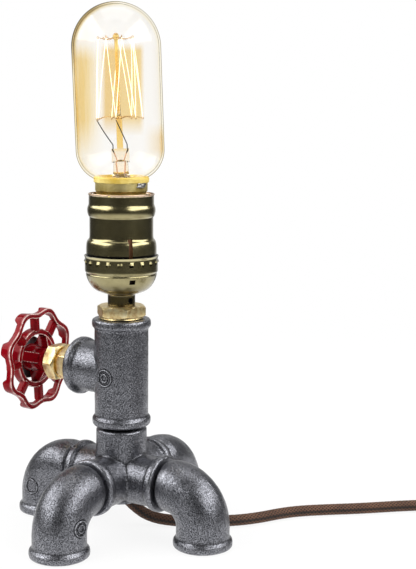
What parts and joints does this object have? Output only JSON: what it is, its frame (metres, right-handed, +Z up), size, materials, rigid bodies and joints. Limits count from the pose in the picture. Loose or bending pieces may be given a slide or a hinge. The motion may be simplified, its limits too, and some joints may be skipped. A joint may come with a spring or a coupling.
{
  "type": "table lamp",
  "caption": "Table lamp of iron pipe fittings on four elbow feet, with a valve handwheel as its switch and a tube bulb in a brass lamp holder on top.",
  "frame": {"origin": "on the table, under the axis of the upright pipe column, centred between the four feet", "axes": "+Z up along the column; the four legs point along +X, +Y, -X and -Y; the side branch with the handwheel points along -X; the cord leaves between the +X and +Y legs"},
  "size_m": [0.301, 0.2133, 0.273],
  "materials": {
    "malleable_iron": "as cast, dark, oiled",
    "yellow_brass": "machined, satin",
    "zinc_steel": "zinc plated",
    "antique_brass": "antique bronze plating, satin",
    "black_steel": "blackened",
    "graphite_packing": "braided packing",
    "spindle_steel": "turned",
    "red_enamel": "gloss paint on cast metal",
    "grey_plate": "satin, bare",
    "plated_screw": "nickel plated",
    "switch_plastic": "moulded phenolic",
    "cam_plastic": "moulded nylon",
    "contact_brass": "stamped, bright",
    "fibre_paper": "vulcanised fibre",
    "porcelain": "glazed porcelain",
    "amber_glass": "clear, tinted",
    "clear_glass": "clear",
    "lamp_cap_brass": "rolled, bright",
    "black_glass": "fused glass",
    "lamp_cement": "baked cement",
    "solder": "tin solder",
    "support_wire": "drawn molybdenum",
    "filament_wire": "glowing wire",
    "brown_braid": "woven rayon braid",
    "tie_strap": "black strap",
    "bush_rubber": "moulded",
    "black_insulation": "extruded",
    "white_insulation": "extruded",
    "plug_plastic": "moulded",
    "blade_brass": "stamped"
  },
  "bodies": {
    "stand": {"base_cross": "malleable_iron", "leg_elbow_front_right": "malleable_iron", "leg_elbow_back_right": "malleable_iron", "leg_elbow_back_left": "malleable_iron", "leg_elbow_front_left": "malleable_iron", "column_tee": "malleable_iron", "hex_bushing": "yellow_brass", "threaded_nipple": "zinc_steel", "valve_bonnet": "yellow_brass", "packing_nut": "yellow_brass", "packing_ring": "graphite_packing", "switch_body": "switch_plastic", "switch_contacts": "contact_brass", "socket_cap": "antique_brass", "cap_set_screw": "black_steel", "socket_shell": "antique_brass", "insulating_sleeve": "fibre_paper", "socket_base": "porcelain", "terminal_plates": "contact_brass", "terminal_screws": "contact_brass", "screw_shell": "contact_brass", "centre_contact": "contact_brass", "cord_bush": "bush_rubber", "cord_inside": "brown_braid", "live_wire": "black_insulation", "neutral_wire": "white_insulation", "switched_wire": "black_insulation", "cord_run": "brown_braid", "cord_coil": "brown_braid", "cord_tail": "brown_braid", "cord_tie": "tie_strap", "plug_body": "plug_plastic", "plug_blades": "blade_brass", "plug_strain_relief": "plug_plastic"},
    "handwheel": {"spindle": "spindle_steel", "handwheel": "red_enamel", "index_plate": "grey_plate", "handwheel_screw": "plated_screw", "switch_rotor": "cam_plastic"},
    "bulb": {"bulb_glass": "amber_glass", "bulb_cap": "lamp_cap_brass", "bulb_cement": "lamp_cement", "bulb_insulator": "black_glass", "bulb_contact": "solder", "bulb_stem": "clear_glass", "bulb_rod": "clear_glass", "filament_supports": "support_wire", "filament": "filament_wire", "lead_wires": "support_wire"}
  },
  "joints": [
    {"name": "handwheel_turn", "type": "hinge", "parent": "stand", "child": "handwheel", "pos_m": [0, 0, 0.0845], "axis": [-1, 0, 0], "continuous": true},
    {"name": "bulb_unscrew", "type": "slide", "parent": "stand", "child": "bulb", "axis": [0, 0, 1], "range_m": [0, 0.018]}
  ]
}
